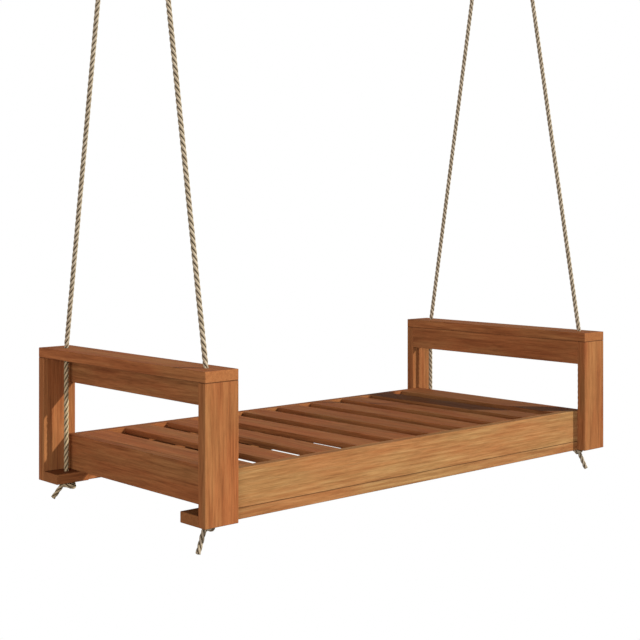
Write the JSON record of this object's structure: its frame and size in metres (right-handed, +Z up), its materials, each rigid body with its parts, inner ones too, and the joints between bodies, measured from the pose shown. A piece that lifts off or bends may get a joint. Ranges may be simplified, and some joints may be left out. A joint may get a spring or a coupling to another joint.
{
  "type": "hanging swing bed",
  "caption": "Slatted wooden swing bed between two low end frames, hung by twisted ropes from shackles and ceiling eye plates, with stopper knots under drilled blocks.",
  "frame": {"origin": "the point over the bed's middle in the plane of the four ceiling plates' top faces, which the bed hangs from", "axes": "+Z up, +X along the bed to its right end, +Y towards its rear"},
  "size_m": [2.2038, 1.0666, 2.5062],
  "materials": {
    "frame_wood": "oiled softwood with a red-brown stain, straight fine grain and a few pin knots",
    "slat_wood": "oiled softwood with a red-brown stain, slightly darker than the frame",
    "rope_fibre": "three-strand twisted natural fibre, matt, with dark grooves",
    "seizing_twine": "tight turns of tarred natural twine, matt",
    "galvanised_steel": "hot-dip galvanised, dull grey with a soft sheen"
  },
  "bodies": {
    "ceiling_plates": {"ceiling_plate_front_left": "galvanised_steel", "ceiling_plate_front_right": "galvanised_steel", "ceiling_plate_rear_left": "galvanised_steel", "ceiling_plate_rear_right": "galvanised_steel"},
    "shackle_front_left": {"shackle_front_left": "galvanised_steel", "shackle_pin_front_left": "galvanised_steel"},
    "rope_front_left": {"rope_upper_front_left": "rope_fibre", "thimble_front_left": "galvanised_steel", "rope_seizing_front_left": "seizing_twine"},
    "shackle_front_right": {"shackle_front_right": "galvanised_steel", "shackle_pin_front_right": "galvanised_steel"},
    "rope_front_right": {"rope_upper_front_right": "rope_fibre", "thimble_front_right": "galvanised_steel", "rope_seizing_front_right": "seizing_twine"},
    "shackle_rear_left": {"shackle_rear_left": "galvanised_steel", "shackle_pin_rear_left": "galvanised_steel"},
    "rope_rear_left": {"rope_upper_rear_left": "rope_fibre", "thimble_rear_left": "galvanised_steel", "rope_seizing_rear_left": "seizing_twine"},
    "shackle_rear_right": {"shackle_rear_right": "galvanised_steel", "shackle_pin_rear_right": "galvanised_steel"},
    "rope_rear_right": {"rope_upper_rear_right": "rope_fibre", "thimble_rear_right": "galvanised_steel", "rope_seizing_rear_right": "seizing_twine"},
    "rope_neck": {"rope_neck_front_left": "rope_fibre"},
    "bed": {"frame_cap_left": "frame_wood", "apron_left": "frame_wood", "end_board_left": "frame_wood", "frame_cap_right": "frame_wood", "apron_right": "frame_wood", "end_board_right": "frame_wood", "rail_front": "frame_wood", "bottom_board_front": "frame_wood", "slat_cleat_front": "frame_wood", "rail_rear": "frame_wood", "bottom_board_rear": "frame_wood", "slat_cleat_rear": "frame_wood", "slat_01": "slat_wood", "slat_02": "slat_wood", "slat_03": "slat_wood", "slat_04": "slat_wood", "slat_05": "slat_wood", "slat_06": "slat_wood", "slat_07": "slat_wood", "slat_08": "slat_wood", "slat_09": "slat_wood", "slat_10": "slat_wood", "upright_front_left": "frame_wood", "rope_block_front_left": "frame_wood", "upright_front_right": "frame_wood", "rope_block_front_right": "frame_wood", "upright_rear_left": "frame_wood", "rope_block_rear_left": "frame_wood", "upright_rear_right": "frame_wood", "rope_block_rear_right": "frame_wood", "rope_lower_front_left": "rope_fibre", "rope_lower_front_right": "rope_fibre", "rope_lower_rear_left": "rope_fibre", "rope_lower_rear_right": "rope_fibre"}
  },
  "joints": [
    {"name": "swing_front_back_front_left", "type": "hinge", "parent": "ceiling_plates", "child": "shackle_front_left", "pos_m": [-1.032, -0.1261, -0.03], "axis": [1, 0, 0], "range_deg": [-10, 10]},
    {"name": "swing_endwise_front_left", "type": "hinge", "parent": "shackle_front_left", "child": "rope_front_left", "pos_m": [-1.032, -0.1305, -0.05562], "axis": [0, 1, 0], "range_deg": [-10, 10]},
    {"name": "swing_front_back_front_right", "type": "hinge", "parent": "ceiling_plates", "child": "shackle_front_right", "pos_m": [1.041, -0.1261, -0.03], "axis": [1, 0, 0], "range_deg": [-10, 10]},
    {"name": "swing_endwise_front_right", "type": "hinge", "parent": "shackle_front_right", "child": "rope_front_right", "pos_m": [1.041, -0.1305, -0.05562], "axis": [0, 1, 0], "range_deg": [-10, 10]},
    {"name": "swing_front_back_rear_left", "type": "hinge", "parent": "ceiling_plates", "child": "shackle_rear_left", "pos_m": [-1.032, 0.1261, -0.03], "axis": [1, 0, 0], "range_deg": [-10, 10]},
    {"name": "swing_endwise_rear_left", "type": "hinge", "parent": "shackle_rear_left", "child": "rope_rear_left", "pos_m": [-1.032, 0.1305, -0.05562], "axis": [0, 1, 0], "range_deg": [-10, 10]},
    {"name": "swing_front_back_rear_right", "type": "hinge", "parent": "ceiling_plates", "child": "shackle_rear_right", "pos_m": [1.041, 0.1261, -0.03], "axis": [1, 0, 0], "range_deg": [-10, 10]},
    {"name": "swing_endwise_rear_right", "type": "hinge", "parent": "shackle_rear_right", "child": "rope_rear_right", "pos_m": [1.041, 0.1305, -0.05562], "axis": [0, 1, 0], "range_deg": [-10, 10]},
    {"name": "cap_bend_endwise", "type": "hinge", "parent": "rope_front_left", "child": "rope_neck", "pos_m": [-1.032, -0.4455, -1.887], "axis": [0, 1, 0], "range_deg": [-10, 10]},
    {"name": "cap_bend_front_back", "type": "hinge", "parent": "rope_neck", "child": "bed", "pos_m": [-1.032, -0.4455, -1.887], "axis": [1, 0, 0], "range_deg": [-4, 4]}
  ],
  "couplings": [
    {"joint": "swing_front_back_front_right", "follows": "swing_front_back_front_left", "ratio": 1},
    {"joint": "swing_endwise_front_right", "follows": "swing_endwise_front_left", "ratio": 1},
    {"joint": "swing_front_back_rear_left", "follows": "swing_front_back_front_left", "ratio": 1},
    {"joint": "swing_endwise_rear_left", "follows": "swing_endwise_front_left", "ratio": 1},
    {"joint": "swing_front_back_rear_right", "follows": "swing_front_back_front_left", "ratio": 1},
    {"joint": "swing_endwise_rear_right", "follows": "swing_endwise_front_left", "ratio": 1},
    {"joint": "cap_bend_endwise", "follows": "swing_endwise_front_left", "ratio": -1},
    {"joint": "cap_bend_front_back", "follows": "swing_front_back_front_left", "ratio": -0.283}
  ]
}
